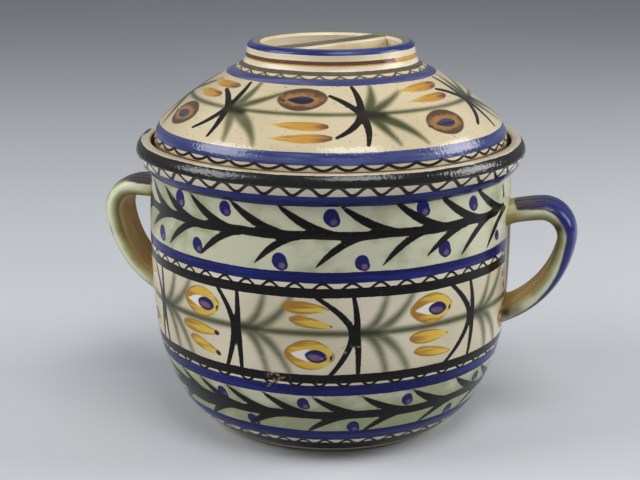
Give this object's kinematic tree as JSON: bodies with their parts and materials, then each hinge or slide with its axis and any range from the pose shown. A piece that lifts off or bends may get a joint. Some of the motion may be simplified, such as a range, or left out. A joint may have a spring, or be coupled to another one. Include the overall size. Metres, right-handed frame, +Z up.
{
  "type": "lidded earthenware pot",
  "caption": "Deep round glazed pot with strap handles and a loose domed lid that seats in a gallery and lifts by a strap bridging a sunken collar.",
  "frame": {"origin": "middle of the foot, on the plane that the pot stands on", "axes": "+Z up along the pot's axis, +X along the line of the handles towards the right one, +Y towards the back, to which both handles are set a little round"},
  "size_m": [0.3194, 0.25, 0.2491],
  "materials": {
    "pot_glaze": "gloss tin glaze, hand painted",
    "handle_glaze": "gloss pale green glaze",
    "lid_glaze": "gloss tin glaze, hand painted"
  },
  "bodies": {
    "pot": {"pot_body": "pot_glaze", "right_handle": "handle_glaze", "left_handle": "handle_glaze"},
    "lid": {"lid_shell": "lid_glaze", "lid_collar": "lid_glaze", "lid_grip_strap": "lid_glaze"}
  },
  "joints": [
    {"name": "lid_lift", "type": "slide", "parent": "pot", "child": "lid", "axis": [0, 0, 1], "range_m": [0, 0.18]}
  ]
}
